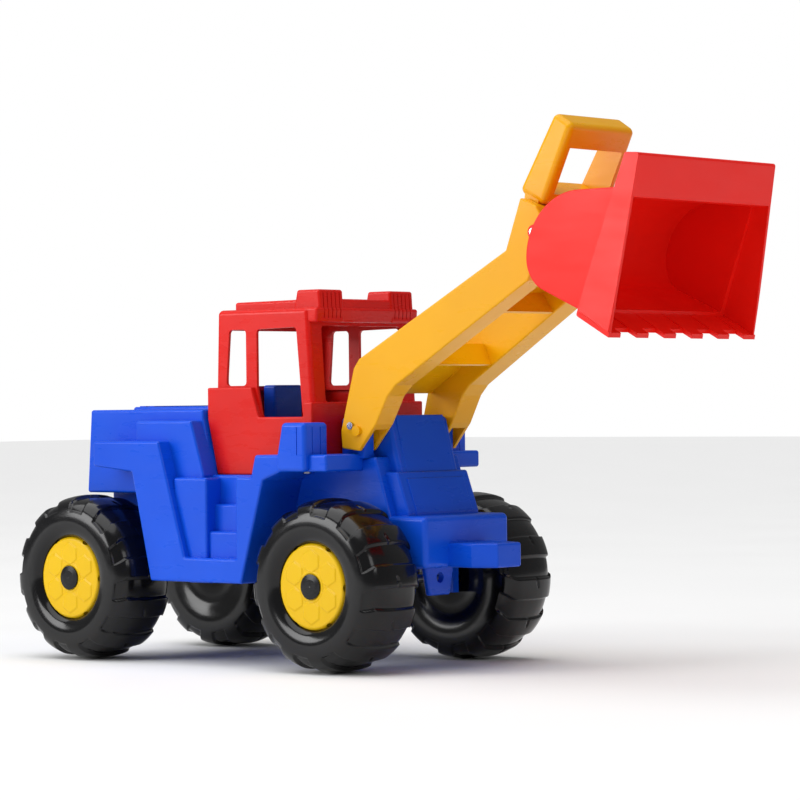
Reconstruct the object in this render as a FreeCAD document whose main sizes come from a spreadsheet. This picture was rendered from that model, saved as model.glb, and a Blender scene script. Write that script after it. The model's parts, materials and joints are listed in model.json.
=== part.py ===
import FreeCAD, Part
import math
import os
import re
import Sketcher

# Toy front loader: a blue body shell with a red cab, four wheels on two axles, a yellow
# lifting boom with a carrying handle, and a red bucket.
# The row frame has +X towards the bucket, +Y to the vehicle's left and +Z up, with the
# origin on the floor below the middle of the bounding box. Lengths below are millimetres,
# angles are degrees, and every x place is counted forward from the front axle.

DIMENSIONS = {
    # whole vehicle
    "front_axle_x": 21.75,
    "wheelbase": 316.5,
    "axle_height": 80.0,
    "wall": 3.0,
    "edge_round": 2.5,
    "broad_round": 5.0,
    "fine_round": 0.8,
    "groove": 1.0,
    # wheels
    "tyre_radius": 80.0,
    "tyre_inner_y": 62.5,
    "tyre_outer_y": 135.7,
    "tyre_wall": 3.0,
    "tyre_shoulder": 11.0,
    "tyre_bore_radius": 40.8,
    "tyre_inner_radius": 12.0,
    "tread_depth": 3.2,
    "tread_gap": 4.0,
    "tread_count": 18.0,
    "hub_radius": 40.2,
    "hub_face_y": 130.9,
    "hub_inner_y": 67.0,
    "hub_wall": 2.5,
    "hub_shoulder": 4.0,
    "sleeve_radius": 8.0,
    "pad_distance": 23.5,
    "pad_radius": 9.0,
    "pad_height": 0.8,
    "axle_radius": 4.0,
    "axle_fit": 0.08,
    "axle_half_length": 132.6,
    "cap_radius": 11.5,
    "cap_wall": 0.8,
    "cap_inner_y": 131.3,
    "cap_outer_y": 133.6,
    "nut_radius": 7.5,
    "nut_inner_y": 131.2,
    "nut_thickness": 0.7,
    # body shell: half widths of its stepped layers
    "core_half": 60.0,
    "deck_half": 85.0,
    "flank_half": 100.0,
    "skirt_half": 115.0,
    "fender_half": 111.0,
    "locker_half": 108.0,
    "stair_top_half": 88.0,
    "stair_mid_half": 96.0,
    "stair_low_half": 104.0,
    # body shell: places along X and Z
    "core_bottom_z": 95.0,
    "rear_x": -332.5,
    "deck_bottom_z": 161.5,
    "deck_rear_z": 242.6,
    "deck_front_z": 242.3,
    "deck_front_x": -179.0,
    "strip_rear_x": -305.0,
    "strip_half": 56.0,
    "strip_top_z": 245.3,
    "vent_x": -309.0,
    "vent_length": 24.0,
    "vent_half": 40.0,
    "flank_top_z": 231.8,
    "flank_rear_x": -255.0,
    "flank_front_x": -181.0,
    "flank_foot_x": -164.5,
    "rear_fender_x": -299.0,
    "rear_fender_top_z": 212.3,
    "rear_arch_z": 186.0,
    "rear_arch_front_x": -246.7,
    "rear_fender_front_x": -210.3,
    "skirt_rear_x": -222.5,
    "skirt_front_x": -103.0,
    "skirt_bottom_z": 79.0,
    "skirt_top_front_x": -74.0,
    "ledge_z": 102.0,
    "ledge_rear_x": -176.7,
    "locker_front_x": -153.5,
    "locker_top_z": 177.6,
    "stair_front_x": -109.0,
    "stair_top_front_x": -88.0,
    "stair_mid_z": 152.5,
    "stair_low_z": 127.0,
    "floor_z": 180.0,
    "step_x": -90.0,
    "step_z": 190.0,
    "front_fender_top_z": 199.5,
    "front_arch_z": 184.0,
    "front_fender_rear_x": -89.5,
    "fender_block_rear_x": -24.0,
    "fender_block_front_x": 2.0,
    "tower_base_x": -54.5,
    "tower_rear_x": -48.0,
    "tower_front_x": -19.0,
    "tower_top_z": 229.3,
    "tower_inner_y": 84.0,
    "tower_outer_y": 117.3,
    "tower_round": 4.0,
    "hood_half": 42.0,
    "hood_panel_half": 34.0,
    "hood_rear_x": -42.0,
    "hood_top_x": 19.5,
    "hood_top_z": 234.0,
    "hood_foot_x": 33.0,
    "brow_half": 51.0,
    "brow_panel_half": 40.5,
    "brow_top_x": 36.0,
    "brow_top_z": 182.7,
    "brow_foot_x": 49.6,
    "cheek_top_x": 17.0,
    "cheek_top_z": 197.0,
    "cheek_foot_x": 45.6,
    "bumper_half": 61.0,
    "bumper_front_x": 77.5,
    "bumper_top_z": 142.5,
    "bumper_bottom_z": 95.0,
    "nose_half": 28.0,
    "nose_tip_half": 16.9,
    "nose_side_x": 104.5,
    "nose_front_x": 126.6,
    "nose_top_z": 117.5,
    "tow_x": 40.5,
    "tow_thickness": 6.0,
    "tow_top_half": 21.5,
    "tow_bottom_half": 15.0,
    "tow_bottom_z": 67.0,
    "tow_eye_z": 83.5,
    "tow_flange_length": 17.0,
    "tow_screw_y": 13.0,
    "tow_eye_radius": 5.0,
    "bearing_half": 16.0,
    "bearing_bottom_z": 66.0,
    "bearing_width": 8.0,
    # seat moulded into the floor
    "seat_rear_x": -161.0,
    "seat_front_x": -145.0,
    "seat_top_z": 265.0,
    "seat_half": 19.5,
    "cushion_front_x": -115.0,
    "cushion_top_z": 216.0,
    # cab
    "cab_half": 80.0,
    "cab_gap": 0.5,
    "cab_rear_x": -177.5,
    "cab_foot_x": -165.0,
    "cab_front_x": -43.0,
    "cab_slant_z": 233.0,
    "cab_side_z": 262.8,
    "cab_sill_x": -111.0,
    "cab_sill_z": 234.5,
    "cab_upper_half": 75.0,
    "window_round": 4.0,
    "cab_upper_rear_x": -172.0,
    "cab_upper_front_x": -45.0,
    "roof_rear_x": -168.5,
    "roof_front_x": -52.0,
    "roof_z": 336.6,
    "roof_panel_half": 61.0,
    "roof_panel_rear_x": -158.0,
    "roof_panel_front_x": -44.0,
    "roof_panel_z": 345.0,
    "visor_front_x": -41.3,
    "visor_half": 73.0,
    "visor_z": 322.7,
    "beacon_rear_x": -77.0,
    "beacon_front_x": -41.8,
    "beacon_inner_y": 33.5,
    "beacon_outer_y": 67.5,
    "beacon_top_z": 353.5,
    "window_top_z": 317.5,
    "window_rear_x": -157.0,
    "window_rear_top_x": -152.5,
    "door_post_rear_x": -130.7,
    "door_post_front_x": -117.0,
    "front_post_top_x": -66.2,
    "front_post_x": -58.7,
    "screen_half": 57.0,
    "screen_sill_z": 248.0,
    "screen_top_z": 322.7,
    "rear_window_half": 60.0,
    "screw_radius": 2.0,
    "screw_head_radius": 4.0,
    "screw_head_height": 2.5,
    "screw_length": 12.0,
    "screw_post_radius": 5.0,
    "screw_y": 73.0,
    "screw_rear_x": -150.0,
    "screw_front_x": -56.0,
    # boom
    "pivot_x": -2.4,
    "pivot_z": 225.8,
    "arm_outer_y": 71.0,
    "arm_width": 27.0,
    "arm_toe_in": 3.4,
    "arm_round": 1.5,
    "foot_rear_x": -14.6,
    "foot_rear_z": 221.0,
    "foot_heel_x": -13.5,
    "foot_heel_z": 204.8,
    "foot_toe_x": 6.0,
    "foot_toe_z": 202.5,
    "foot_front_x": 26.4,
    "foot_front_z": 226.8,
    "shin_top_x": 40.0,
    "shin_top_z": 252.5,
    "elbow_x": 49.6,
    "elbow_z": 262.6,
    "chin_x": 198.0,
    "chin_z": 353.5,
    "eye_x": 218.5,
    "eye_low_z": 391.0,
    "eye_high_z": 402.5,
    "neck_front_x": 208.0,
    "neck_front_z": 419.4,
    "neck_rear_x": 190.8,
    "neck_rear_z": 427.5,
    "knee_x": 174.4,
    "knee_z": 381.2,
    "elbow_back_x": 7.2,
    "elbow_back_z": 287.3,
    "shin_back_x": 1.0,
    "shin_back_z": 278.8,
    "open_shift": 4.4,
    "plate_rear_x": -3.0,
    "plate_rear_z": 258.0,
    "plate_front_x": 66.2,
    "plate_front_z": 301.0,
    "plate_end_x": 76.0,
    "plate_end_z": 281.5,
    "head_plate_x": 136.0,
    "head_plate_z": 347.0,
    "head_plate_low_x": 150.0,
    "head_plate_low_z": 326.5,
    "head_plate_top_x": 190.0,
    "head_plate_top_z": 380.0,
    "ear_inner_y": 50.5,
    "ear_outer_y": 64.5,
    "ear_half": 9.5,
    "pin_radius": 2.6,
    "pin_fit": 0.08,
    "pin_head_radius": 3.4,
    "pin_head_height": 1.6,
    "clip_radius": 4.2,
    "clip_thickness": 0.8,
    # handle
    "handle_half": 48.0,
    "handle_round": 6.0,
    "handle_rear_x": 178.9,
    "handle_rear_z": 434.0,
    "handle_top_x": 220.5,
    "handle_top_z": 503.0,
    "handle_depth_x": 28.5,
    "handle_depth_z": -14.6,
    "slot_half": 38.5,
    "slot_low": 12.0,
    "slot_high": 56.0,
    "tongue_outer_y": 47.0,
    "tongue_inner_y": 40.0,
    "tongue_length": 28.0,
    "tongue_gap": 0.3,
    # bucket
    "bucket_pin_x": 210.5,
    "bucket_pin_z": 396.0,
    "bowl_x": 288.0,
    "bowl_z": 370.5,
    "bowl_radius": 57.5,
    "bowl_half": 103.0,
    "bowl_round": 1.5,
    "bowl_heel_radius": 30.4,
    "floor_slope": 24.7,
    "lip_tip_x": 324.0,
    "lip_tip_z": 300.0,
    "lip_top_x": 353.5,
    "lip_top_z": 456.3,
    "lip_draft": 2.4,
    "lip_half": 109.5,
    "lip_rear_top_x": 338.7,
    "lip_rear_bottom_x": 288.5,
    "lip_rear_bottom_z": 319.5,
    "band_x": 346.2,
    "band_z": 418.8,
    "bowl_front_x": 335.0,
    "teeth_gap": 23.1,
    "tooth_width": 17.25,
    "tooth_depth": 9.0,
    "lug_outer_y": 66.5,
    "lug_inner_y": 61.5,
    "lug_radius": 6.4,
}

ALIAS = re.compile(r"\b(" + "|".join(DIMENSIONS) + r")\b")
SIDES = {"left": 1, "right": -1}

doc = FreeCAD.newDocument("toy_front_loader")
sheet = doc.addObject("Spreadsheet::Sheet", "dims")
for row, (alias, number) in enumerate(DIMENSIONS.items(), start=1):
    sheet.set(f"A{row}", alias)
    sheet.set(f"B{row}", str(number))
    sheet.setAlias(f"B{row}", alias)
doc.recompute()

kept = []


def bind(item, prop, rule):
    """Bind one property to a rule written with the sheet's aliases."""
    item.setExpression(prop, ALIAS.sub(r"dims.\g<1>", rule))


def outline(sketch, corners):
    """Draw a closed polygon whose corners are held by rules for their two coordinates."""
    count = len(corners)
    turn = 2 * math.pi / count
    start = [FreeCAD.Vector(50 * math.cos(i * turn), 50 * math.sin(i * turn), 0) for i in range(count)]
    first = sketch.GeometryCount
    for i in range(count):
        sketch.addGeometry(Part.LineSegment(start[i], start[(i + 1) % count]), False)
    for i in range(count):
        sketch.addConstraint(Sketcher.Constraint("Coincident", first + i, 2, first + (i + 1) % count, 1))
    for i, (across, up) in enumerate(corners):
        for kind, rule in (("DistanceX", across), ("DistanceY", up)):
            index = sketch.addConstraint(Sketcher.Constraint(kind, -1, 1, first + i, 1, 1.0))
            bind(sketch, f"Constraints[{index}]", rule)


def new_sketch(body, name, plane, offset=None):
    """Start a sketch on one of the body's own origin planes, moved along its normal."""
    sketch = body.newObject("Sketcher::SketchObject", name)
    support = [f for f in body.Origin.OriginFeatures if f.Role == plane][0]
    sketch.AttachmentSupport = [(support, "")]
    sketch.MapMode = "FlatFace"
    if offset:
        bind(sketch, "AttachmentOffset.Base.z", offset)
    return sketch


def tip(body, feature):
    """Make a new feature the result of its body."""
    body.Tip = feature
    return feature


def round_edges(body, name, radius):
    """Round every edge of the body's last feature."""
    doc.recompute()
    base = body.Tip
    fillet = body.newObject("PartDesign::Fillet", name)
    fillet.Base = (base, ["Edge1"])
    fillet.UseAllEdges = True
    bind(fillet, "Radius", radius)
    return tip(body, fillet)


def pad(body, sketch, name, length, midplane=True, reverse=False):
    """Pad a sketch, evenly to both sides unless told otherwise."""
    feature = body.newObject("PartDesign::Pad", name)
    feature.Profile = sketch
    bind(feature, "Length", length)
    feature.Midplane = midplane
    feature.Reversed = reverse
    return tip(body, feature)


def layer(name, corners, half, radius=None):
    """A side profile in X and Z, padded to a half width on both sides of the middle."""
    body = doc.addObject("PartDesign::Body", name)
    sketch = new_sketch(body, name + "_profile", "XZ_Plane")
    outline(sketch, corners)
    pad(body, sketch, name + "_pad", f"2 * ({half})")
    if radius:
        round_edges(body, name + "_rounding", radius)
    return body, sketch


def hollow(name, sketch, half):
    """The space inside a layer: its profile moved in by one wall, one wall narrower."""
    inner = doc.addObject("Part::Offset2D", name + "_inset")
    inner.Source = sketch
    inner.Join = "Intersection"
    bind(inner, "Value", "-wall")
    return extrude(name, inner, half + " - wall")


def extrude(name, flat, half):
    """Extrude a flat shape evenly along Y to a half width."""
    solid = doc.addObject("Part::Extrusion", name)
    solid.Base = flat
    solid.DirMode = "Custom"
    solid.Dir = FreeCAD.Vector(0, 1, 0)
    solid.Symmetric = True
    solid.Solid = True
    bind(solid, "LengthFwd", f"2 * ({half})")
    return solid


def block(name, x, y, z):
    """A plain box between two rules on each axis."""
    box = doc.addObject("Part::Box", name)
    for size, place, (low, high) in zip(("Length", "Width", "Height"), "xyz", (x, y, z)):
        bind(box, size, f"({high}) - ({low})")
        bind(box, "Placement.Base." + place, low)
    return box


def rod(name, radius, length, x, y, z):
    """A cylinder along +Y, starting at a place."""
    cylinder = doc.addObject("Part::Cylinder", name)
    cylinder.Placement = FreeCAD.Placement(FreeCAD.Vector(), FreeCAD.Rotation(FreeCAD.Vector(1, 0, 0), -90))
    bind(cylinder, "Radius", radius)
    bind(cylinder, "Height", length)
    for place, rule in zip("xyz", (x, y, z)):
        bind(cylinder, "Placement.Base." + place, rule)
    return cylinder


def join(name, shapes):
    """Fuse several shapes."""
    fused = doc.addObject("Part::MultiFuse", name)
    fused.Shapes = shapes
    return fused


def cut(name, base, tool):
    """Take one shape away from another."""
    result = doc.addObject("Part::Cut", name)
    result.Base = base
    result.Tool = tool
    return result


def mirror(name, source):
    """The same shape on the other side of the middle plane."""
    other = doc.addObject("Part::Mirroring", name)
    other.Source = source
    other.Base = FreeCAD.Vector(0, 0, 0)
    other.Normal = FreeCAD.Vector(0, 1, 0)
    return other


def keep(item, label):
    """Move a finished sub-part from the front axle's frame to the row frame and keep it."""
    item.Label = label
    bind(item, "Placement.Base.x", "front_axle_x")
    kept.append(item)
    return item


def body_shell():
    """The blue body: stepped layers fused, hollowed to one wall and open underneath."""
    layers = {
        "core": ("core_half", [
            ("rear_x + 6", "core_bottom_z"), ("rear_x + 3", "deck_bottom_z + 20"), ("-200", "deck_bottom_z + 20"),
            ("-100", "floor_z - 1"), ("cheek_top_x", "cheek_top_z"), ("cheek_foot_x", "core_bottom_z + 12"),
            ("cheek_foot_x", "core_bottom_z")]),
        "deck": ("deck_half", [
            ("rear_x - 6", "deck_bottom_z"), ("rear_x", "deck_rear_z"), ("deck_front_x", "deck_front_z"),
            ("deck_front_x", "cab_slant_z"), ("cab_foot_x - 2", "floor_z - 2"), ("cab_foot_x - 2", "deck_bottom_z")]),
        "deck_strip": ("strip_half", [
            ("strip_rear_x", "deck_rear_z - 8"), ("strip_rear_x + 3", "strip_top_z"),
            ("deck_front_x", "strip_top_z"), ("deck_front_x", "deck_front_z - 8")]),
        "flank": ("flank_half", [
            ("flank_rear_x", "deck_bottom_z + 10"), ("flank_rear_x", "flank_top_z"), ("flank_front_x", "flank_top_z"),
            ("flank_foot_x", "floor_z"), ("flank_foot_x", "deck_bottom_z + 5")]),
        "skirt": ("skirt_half", [
            ("rear_fender_x", "rear_arch_z + 2"), ("rear_fender_x", "rear_fender_top_z"),
            ("rear_fender_front_x", "rear_fender_top_z"), ("ledge_rear_x", "ledge_z"), ("stair_front_x", "ledge_z"),
            ("stair_front_x", "floor_z - 1"), ("front_fender_rear_x", "floor_z - 1"),
            ("front_fender_rear_x + 5.5", "front_fender_top_z"), ("tower_front_x - 1", "front_fender_top_z"),
            ("tower_front_x - 1", "front_arch_z"), ("skirt_top_front_x + 22", "front_arch_z"),
            ("skirt_top_front_x", "front_arch_z - 8"), ("skirt_front_x", "skirt_bottom_z"),
            ("skirt_rear_x", "skirt_bottom_z"), ("rear_arch_front_x", "rear_arch_z - 3")]),
        "locker": ("locker_half", [
            ("ledge_rear_x - 20", "ledge_z - 8"), ("ledge_rear_x - 20", "locker_top_z"),
            ("locker_front_x", "locker_top_z"), ("locker_front_x", "ledge_z - 8")]),
        "stair_top": ("stair_top_half", [
            ("locker_front_x - 20", "ledge_z - 8"), ("locker_front_x - 20", "floor_z"),
            ("stair_top_front_x", "floor_z"), ("stair_top_front_x", "ledge_z + 70"),
            ("stair_front_x + 10", "ledge_z + 60"), ("stair_front_x + 10", "ledge_z - 8")]),
        "stair_mid": ("stair_mid_half", [
            ("locker_front_x - 8", "ledge_z - 8"), ("locker_front_x - 8", "stair_mid_z"),
            ("stair_front_x + 8", "stair_mid_z"), ("stair_front_x + 8", "ledge_z - 8")]),
        "stair_low": ("stair_low_half", [
            ("locker_front_x - 8", "ledge_z - 8"), ("locker_front_x - 8", "stair_low_z"),
            ("stair_front_x + 8", "stair_low_z"), ("stair_front_x + 8", "ledge_z - 8")]),
        "fender_block": ("fender_half", [
            ("fender_block_rear_x", "front_arch_z"), ("fender_block_rear_x", "front_fender_top_z + 0.4"),
            ("fender_block_front_x", "front_fender_top_z + 0.4"), ("fender_block_front_x", "front_arch_z")]),
        "hood": ("hood_half", [
            ("hood_rear_x", "cheek_top_z - 20"), ("hood_rear_x", "hood_top_z"), ("hood_top_x", "hood_top_z"),
            ("hood_foot_x", "brow_top_z"), ("hood_foot_x", "cheek_top_z - 20")]),
        "brow": ("brow_half", [
            ("hood_rear_x + 30", "bumper_top_z - 10"), ("hood_rear_x + 30", "brow_top_z"), ("brow_top_x", "brow_top_z"),
            ("brow_foot_x", "bumper_top_z + 3"), ("brow_foot_x", "bumper_top_z - 10")]),
        "bumper": ("bumper_half", [
            ("cheek_foot_x - 20", "bumper_bottom_z"), ("cheek_foot_x - 20", "bumper_top_z"),
            ("bumper_front_x", "bumper_top_z"), ("bumper_front_x", "bumper_bottom_z")]),
    }
    outers = []
    inners = []
    for name, (half, corners) in layers.items():
        radius = "broad_round" if name in ("hood", "bumper") else "edge_round"
        body, sketch = layer(name, corners, half, radius)
        outers.append(body)
        inners.append(hollow(name + "_hollow", sketch, half))
    outers += towers() + panels() + vents() + [nose()]
    pocket = join("cab_pocket", pocket_blocks("pocket", "0"))
    pocket_skin = join("cab_pocket_skin", pocket_blocks("skin", "wall"))
    underside = block("underside", ("rear_x + 10", "tow_x - tow_flange_length - 1.5"),
                      ("wall - core_half", "core_half - wall"), ("0", "core_bottom_z + 10"))
    skirt_mouth = block("skirt_mouth", ("skirt_rear_x + 8", "skirt_front_x - 8"),
                        ("wall - skirt_half", "skirt_half - wall"), ("0", "ledge_z - 6"))
    solid = cut("shell_outside", join("shell_layers", outers), pocket)
    space = join("shell_space", [cut("space_behind_cab", join("space_layers", inners), pocket_skin),
                                 underside, skirt_mouth] + tower_spaces())
    seat, seat_space = seat_blocks()
    hollowed = cut("shell_hollowed", join("shell_with_seat", [solid] + seat), join("all_space", [space] + seat_space))
    details = join("shell_details", [hollowed] + bearings() + ears() + screw_posts())
    holes = join("shell_holes", [
        rod("front_axle_hole", "axle_radius + axle_fit", "2 * skirt_half", "0", "-skirt_half", "axle_height"),
        rod("rear_axle_hole", "axle_radius + axle_fit", "2 * skirt_half", "-wheelbase", "-skirt_half", "axle_height"),
        rod("ear_hole", "pin_radius + pin_fit", "2 * skirt_half", "pivot_x", "-skirt_half", "pivot_z"),
    ] + hitch_holes("bumper", "screw_radius + 0.2") + screw_holes() + tower_grooves())
    return keep(cut("body_shell", details, holes), "body_shell")


def pocket_blocks(name, grow):
    """The room the cab sits in, deeper behind the step, optionally grown by a skin."""
    blocks = []
    for part, rear, front, floor in (("rear", "cab_foot_x - 2.4", "step_x + cab_gap", "floor_z"),
                                     ("front", "step_x - wall", "cab_front_x + cab_gap", "step_z")):
        blocks.append(block(f"cab_{name}_{part}", (f"{rear} - {grow}", f"{front} + {grow}"),
                            (f"-cab_half - cab_gap - {grow}", f"cab_half + cab_gap + {grow}"),
                            (f"{floor} - {grow}", "roof_z")))
    return blocks


def towers():
    """Two blocks on the front fenders, beside the cab's front posts."""
    body = doc.addObject("PartDesign::Body", "tower_left")
    sketch = new_sketch(body, "tower_profile", "XZ_Plane", "-tower_outer_y")
    outline(sketch, [
        ("tower_base_x", "front_arch_z"), ("tower_base_x", "front_fender_top_z"),
        ("tower_rear_x", "tower_top_z"), ("tower_front_x", "tower_top_z"), ("tower_front_x", "front_arch_z")])
    pad(body, sketch, "tower_pad", "tower_outer_y - tower_inner_y", midplane=False)
    round_edges(body, "tower_rounding", "tower_round")
    return [body, mirror("tower_right", body)]


def tower_spaces():
    """The towers are hollow and open below."""
    left = block("tower_space_left", ("tower_rear_x + wall", "tower_front_x - wall"),
                 ("tower_inner_y + wall", "tower_outer_y - wall"), ("front_arch_z - 1", "tower_top_z - wall"))
    return [left, mirror("tower_space_right", left)]


def tower_grooves():
    """One thin upright groove in the side of each tower and two in its front."""
    grooves = [block("tower_groove_side", ("tower_front_x - 9 - groove", "tower_front_x - 9"),
                     ("tower_outer_y - 0.8", "tower_outer_y + 1"), ("front_fender_top_z", "tower_top_z - tower_round"))]
    for i in (1, 2):
        middle = f"tower_inner_y + {i} * (tower_outer_y - tower_inner_y) / 3"
        grooves.append(block(f"tower_groove_front_{i}", ("tower_front_x - 0.8", "tower_front_x + 1"),
                             (f"{middle} - groove / 2", f"{middle} + groove / 2"),
                             ("front_fender_top_z", "tower_top_z - tower_round")))
    left = join("tower_grooves_left", grooves)
    return [left, mirror("tower_grooves_right", left)]


def panels():
    """Slightly raised panels on the hood and on the brow below it."""
    hood_panel, _ = layer("hood_panel", [
        ("hood_rear_x", "hood_top_z - 4"), ("hood_rear_x", "hood_top_z + 1"), ("hood_top_x + 1", "hood_top_z + 1"),
        ("hood_foot_x + 1", "brow_top_z - 2"), ("hood_foot_x - 5", "brow_top_z - 2"),
        ("hood_top_x - 4", "hood_top_z - 4")], "hood_panel_half", "fine_round")
    brow_panel, _ = layer("brow_panel", [
        ("brow_top_x - 2", "brow_top_z - 6"), ("brow_top_x + 3.2", "brow_top_z - 6"),
        ("brow_foot_x + 1", "bumper_top_z + 3"), ("brow_foot_x + 1", "bumper_top_z - 4"),
        ("brow_foot_x - 4", "bumper_top_z - 4")], "brow_panel_half", "fine_round")
    return [hood_panel, brow_panel]


def vents():
    """Two low raised bars across the rear deck."""
    return [block(f"vent_{i}", (f"vent_x + {i} * vent_length / 2", f"vent_x + {i} * vent_length / 2 + vent_length / 3"),
                  ("-vent_half", "vent_half"), ("deck_rear_z - 4", "strip_top_z + 0.8")) for i in range(2)]


def nose():
    """The blunt nose in front of the bumper, a plan outline padded upwards."""
    body = doc.addObject("PartDesign::Body", "nose")
    sketch = new_sketch(body, "nose_plan", "XY_Plane", "bumper_bottom_z")
    outline(sketch, [
        ("bumper_front_x - 8", "-nose_half"), ("nose_side_x", "-nose_half"), ("nose_front_x", "-nose_tip_half"),
        ("nose_front_x", "nose_tip_half"), ("nose_side_x", "nose_half"), ("bumper_front_x - 8", "nose_half")])
    pad(body, sketch, "nose_pad", "nose_top_z - bumper_bottom_z", midplane=False)
    round_edges(body, "nose_rounding", "edge_round")
    return body


def seat_blocks():
    """The seat's back and base, which rise from the floor inside the cab, and their hollows."""
    shapes = []
    spaces = []
    for name, rear, front, top, half in (
            ("seat_back", "seat_rear_x", "seat_front_x", "seat_top_z", "seat_half"),
            ("seat_base", "seat_front_x - 4", "cushion_front_x", "cushion_top_z", "seat_half - 1")):
        body, sketch = layer(name, [(rear, "floor_z - 2"), (rear, top), (front, top), (front, "floor_z - 2")],
                             half, "edge_round")
        shapes.append(body)
        spaces.append(block(name + "_space", (rear + " + wall", front + " - wall"),
                            (f"wall - ({half})", f"({half}) - wall"), ("floor_z - 2 * wall", top + " - wall")))
    return shapes, spaces


def bearings():
    """Four plates under the body's side walls that carry the axles."""
    plates = []
    for axle, x in (("front", "0"), ("rear", "-wheelbase")):
        plate = block(axle + "_bearing_left", (x + " - bearing_half", x + " + bearing_half"),
                      ("core_half - bearing_width", "core_half"), ("bearing_bottom_z", "core_bottom_z + 12"))
        plates += [plate, mirror(axle + "_bearing_right", plate)]
    return plates


def ears():
    """Two ears that stand inside the feet of the boom's arms and hold its pins."""
    left = block("ear_left", ("pivot_x - ear_half", "pivot_x + ear_half"), ("ear_inner_y", "ear_outer_y"),
                 ("front_fender_top_z - 4", "pivot_z"))
    top = rod("ear_top_left", "ear_half", "ear_outer_y - ear_inner_y", "pivot_x", "ear_inner_y", "pivot_z")
    return [left, top, mirror("ear_right", left), mirror("ear_top_right", top)]


def tow_hitch():
    """The tab under the front end, with the eye for a pull cord, on a flange with two screw holes."""
    body = doc.addObject("PartDesign::Body", "tow_tab")
    sketch = new_sketch(body, "tow_outline", "YZ_Plane", "tow_x")
    outline(sketch, [
        ("-tow_top_half", "bumper_bottom_z"), ("-tow_bottom_half", "tow_bottom_z"),
        ("tow_bottom_half", "tow_bottom_z"), ("tow_top_half", "bumper_bottom_z")])
    pad(body, sketch, "tow_pad", "tow_thickness")
    round_edges(body, "tow_rounding", "edge_round")
    flange = block("tow_flange", ("tow_x - tow_flange_length", "tow_x"), ("-tow_top_half", "tow_top_half"),
                   ("bumper_bottom_z - wall", "bumper_bottom_z"))
    holes = join("tow_holes", [tow_eye()] + hitch_holes("flange", "screw_radius + 0.2"))
    return keep(cut("tow_hitch", join("tow_solid", [body, flange]), holes), "tow_hitch")


def hitch_holes(name, radius):
    """Two upright holes beside the middle of the hitch's flange."""
    return [upright(f"{name}_hole_{side}", radius, "bumper_bottom_z - 10", "bumper_bottom_z + 8",
                    "tow_x - tow_flange_length + 7", f"{sign} * tow_screw_y") for side, sign in SIDES.items()]


def hitch_screws():
    """The two screws that hold the hitch under the bumper."""
    parts = []
    for side, sign in SIDES.items():
        x = "tow_x - tow_flange_length + 7"
        y = f"{sign} * tow_screw_y"
        low = "bumper_bottom_z - wall"
        parts.append(upright("hitch_shank_" + side, "screw_radius", low, low + " + 8", x, y))
        parts.append(upright("hitch_head_" + side, "screw_head_radius", low + " - screw_head_height", low, x, y))
    return keep(join("hitch_screws", parts), "hitch_screws")


def tow_eye():
    """The hole through the tow tab, along X."""
    hole = doc.addObject("Part::Cylinder", "tow_eye")
    hole.Placement = FreeCAD.Placement(FreeCAD.Vector(), FreeCAD.Rotation(FreeCAD.Vector(0, 1, 0), 90))
    bind(hole, "Radius", "tow_eye_radius")
    bind(hole, "Height", "4 * tow_thickness")
    bind(hole, "Placement.Base.x", "tow_x - 2 * tow_thickness")
    bind(hole, "Placement.Base.z", "tow_eye_z")
    return hole


def upright(name, radius, low, high, x, y):
    """A cylinder along +Z between two heights."""
    cylinder = doc.addObject("Part::Cylinder", name)
    bind(cylinder, "Radius", radius)
    bind(cylinder, "Height", f"({high}) - ({low})")
    for place, rule in zip("xyz", (x, y, low)):
        bind(cylinder, "Placement.Base." + place, rule)
    return cylinder


def screw_places():
    """Name, x rule, y rule and floor height of each screw between the floor and the cab."""
    return [(f"{end}_{side}", f"screw_{end}_x", f"{sign} * screw_y", floor)
            for end, floor in (("rear", "floor_z"), ("front", "step_z")) for side, sign in SIDES.items()]


def screw_posts():
    """Round bosses under the floor for the cab's screws."""
    return [upright("floor_boss_" + name, "screw_post_radius", floor + " - 6", floor + " - 1", x, y)
            for name, x, y, floor in screw_places()]


def screw_holes():
    """Clearance holes for the cab's screws, and room for their heads below."""
    holes = []
    for name, x, y, floor in screw_places():
        holes.append(upright("floor_hole_" + name, "screw_radius + 0.2", floor + " - 12", floor + " + 1", x, y))
        holes.append(upright("floor_recess_" + name, "screw_head_radius + 0.3", floor + " - 12", floor + " - 6", x, y))
    return holes


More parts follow.
